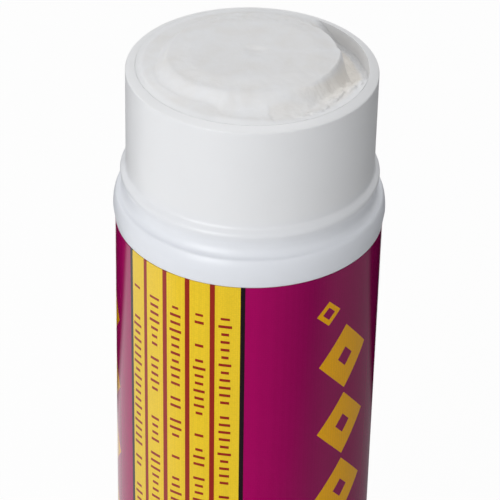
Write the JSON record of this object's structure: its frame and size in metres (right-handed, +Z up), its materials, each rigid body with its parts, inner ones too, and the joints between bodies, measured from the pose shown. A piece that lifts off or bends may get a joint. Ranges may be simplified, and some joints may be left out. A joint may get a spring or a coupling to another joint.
{
  "type": "twist-up glue stick",
  "caption": "Open twist-up glue stick: round barrel with a stepped neck and printed wrap, a turning knob at the base, and a screw that lifts a solid column of glue.",
  "frame": {"origin": "centre of the knob's standing rim, on the axis, in the plane that the stick stands on", "axes": "+Z up along the barrel's axis towards the open end; -Y is the side that the picture is taken from, with +X to its right"},
  "size_m": [0.031, 0.031, 0.1097],
  "materials": {
    "barrel_plastic": "moulded white polypropylene, satin",
    "printed_film": "semi-gloss printed film, magenta with a yellow panel",
    "knob_plastic": "moulded white polypropylene, satin",
    "spindle_plastic": "moulded uncoloured polypropylene",
    "carrier_plastic": "moulded uncoloured polypropylene",
    "glue": "set soap-gel glue, waxy and slightly translucent, torn at its rim"
  },
  "bodies": {
    "barrel": {"barrel": "barrel_plastic", "label_wrap": "printed_film"},
    "knob": {"turning_knob": "knob_plastic", "threaded_spindle": "spindle_plastic"},
    "lift": {"carrier": "carrier_plastic", "glue_column": "glue"}
  },
  "joints": [
    {"name": "knob_turn", "type": "hinge", "parent": "barrel", "child": "knob", "pos_m": [0, 0, 0], "axis": [0, 0, 1], "range_deg": [-360, 4680]},
    {"name": "glue_lift", "type": "slide", "parent": "barrel", "child": "lift", "axis": [0, 0, 1], "range_m": [-0.005, 0.065]}
  ],
  "couplings": [
    {"joint": "knob_turn", "follows": "glue_lift", "rad_per_m": 1256.6}
  ]
}
